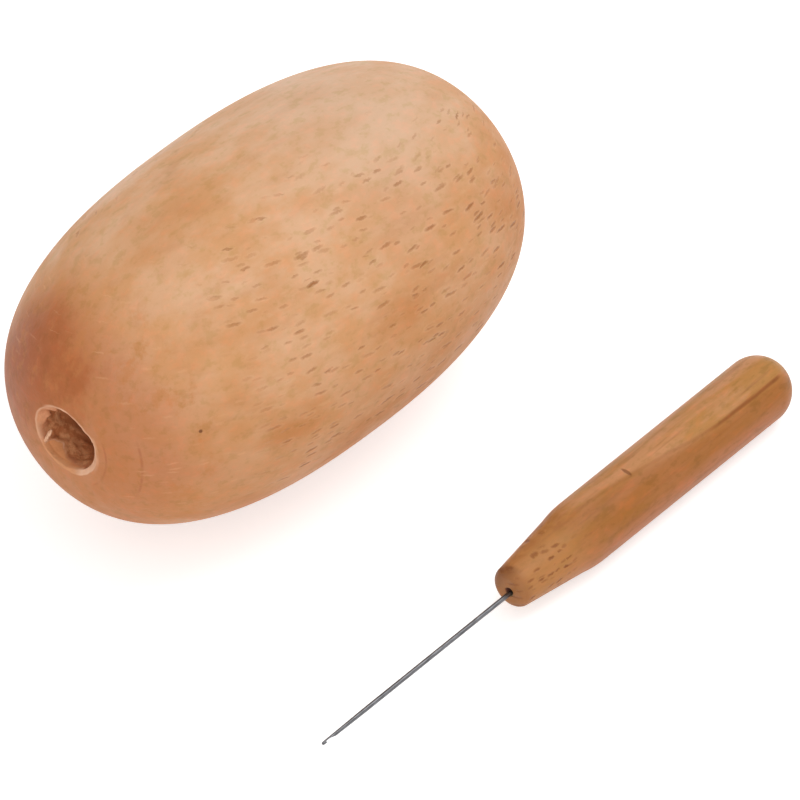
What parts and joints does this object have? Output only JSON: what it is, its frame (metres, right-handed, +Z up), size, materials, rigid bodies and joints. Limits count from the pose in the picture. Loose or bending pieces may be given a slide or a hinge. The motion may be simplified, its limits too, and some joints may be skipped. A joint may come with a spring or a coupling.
{
  "type": "darning egg",
  "caption": "Turned wooden darning egg with a bore in one end, and a hooked needle in a wooden handle that stores in it, for mending stockings and knitwear.",
  "frame": {"origin": "on the table, under the middle of the footprint of the egg and the tool as they lie side by side", "axes": "+Z up, +X along the egg from its drilled end to its whole end, +Y from the tool towards the egg"},
  "size_m": [0.0994, 0.0812, 0.0492],
  "materials": {
    "egg_wood": "turned beech, sanded and lightly waxed",
    "handle_wood": "turned beech with a honey-brown varnish",
    "needle_steel": "drawn wire, plain and slightly dull"
  },
  "bodies": {
    "egg": {"egg": "egg_wood"},
    "hook_tool": {"hook_handle": "handle_wood", "hook_needle": "needle_steel"}
  },
  "joints": [
    {"name": "hook_lift", "type": "slide", "parent": "egg", "child": "hook_tool", "axis": [0, 0, 1], "range_m": [0, 0.06]}
  ]
}
